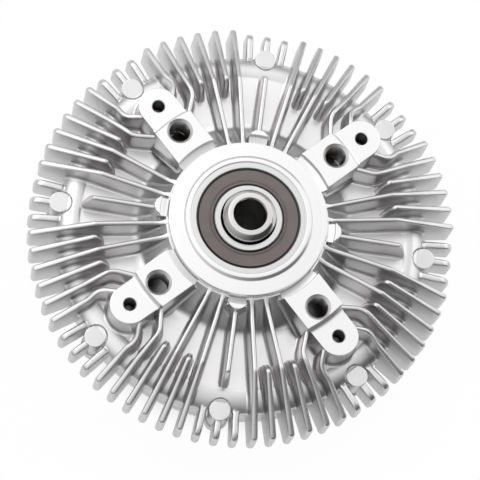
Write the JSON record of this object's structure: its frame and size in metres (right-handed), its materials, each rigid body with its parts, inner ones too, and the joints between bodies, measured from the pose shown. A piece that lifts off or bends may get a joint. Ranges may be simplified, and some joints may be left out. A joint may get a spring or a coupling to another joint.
{
  "type": "viscous fan clutch",
  "caption": "Finned aluminium viscous fan clutch: hollow input shaft in a sealed ball bearing, finned housing with lugs for a fan, and an inner rotor driven through fluid.",
  "frame": {"origin": "on the shaft axis, at the tips of the front cover's fins, on which the part lies", "axes": "+Z along the shaft axis, out of the rear hub; the fan lugs lie on the diagonals of X and Y"},
  "size_m": [0.1396, 0.1396, 0.0563],
  "materials": {
    "cast_aluminium": "as die cast, machined on the hub and the lug pads",
    "turned_aluminium": "turned",
    "bright_steel": "turned and ground",
    "bearing_steel": "ground",
    "zinc_steel": "zinc plated",
    "spring_steel": "bright drawn",
    "brown_rubber": "moulded, satin",
    "black_rubber": "moulded, matte",
    "cage_polymer": "moulded",
    "sheet_brass": "stamped",
    "bimetal": "rolled"
  },
  "bodies": {
    "housing": {"clutch_body": "cast_aluminium", "front_cover": "cast_aluminium", "cover_seal_ring": "black_rubber", "cover_screws": "zinc_steel", "bearing_outer_ring": "bearing_steel", "rear_bearing_seal": "brown_rubber", "front_bearing_seal": "brown_rubber", "shaft_lip_seal": "black_rubber", "lip_seal_spring": "spring_steel", "separator_plate": "sheet_brass", "plate_rivets": "zinc_steel", "valve_pivot_pin": "bright_steel", "control_pin_seal": "black_rubber", "bimetal_strip": "bimetal", "strip_brackets": "zinc_steel", "bracket_screws": "zinc_steel"},
    "shaft": {"input_shaft": "bright_steel", "rotor_disc": "turned_aluminium", "rotor_retaining_ring": "spring_steel", "bearing_inner_ring": "bearing_steel"},
    "ball_set": {"bearing_balls": "bearing_steel", "bearing_cage": "cage_polymer"},
    "control_pin": {"control_pin": "bright_steel"},
    "valve_lever": {"valve_lever": "sheet_brass"}
  },
  "joints": [
    {"name": "shaft_spin", "type": "hinge", "parent": "housing", "child": "shaft", "pos_m": [0, 0, 0.046], "axis": [0, 0, 1], "continuous": true},
    {"name": "ball_set_spin", "type": "hinge", "parent": "housing", "child": "ball_set", "pos_m": [0, 0, 0.046], "axis": [0, 0, 1], "continuous": true},
    {"name": "control_slide", "type": "slide", "parent": "housing", "child": "control_pin", "axis": [0, 0, -1], "range_m": [0, 0.0012], "stiffness_N_per_m": 2000, "deforming": ["bimetal_strip"]},
    {"name": "valve_swing", "type": "hinge", "parent": "housing", "child": "valve_lever", "pos_m": [-0.016, -0.031, 0.0196], "axis": [0, 1, 0], "range_deg": [0, 4.3]}
  ],
  "couplings": [
    {"joint": "ball_set_spin", "follows": "shaft_spin", "ratio": 0.3825},
    {"joint": "valve_swing", "follows": "control_slide", "rad_per_m": 62.5}
  ]
}
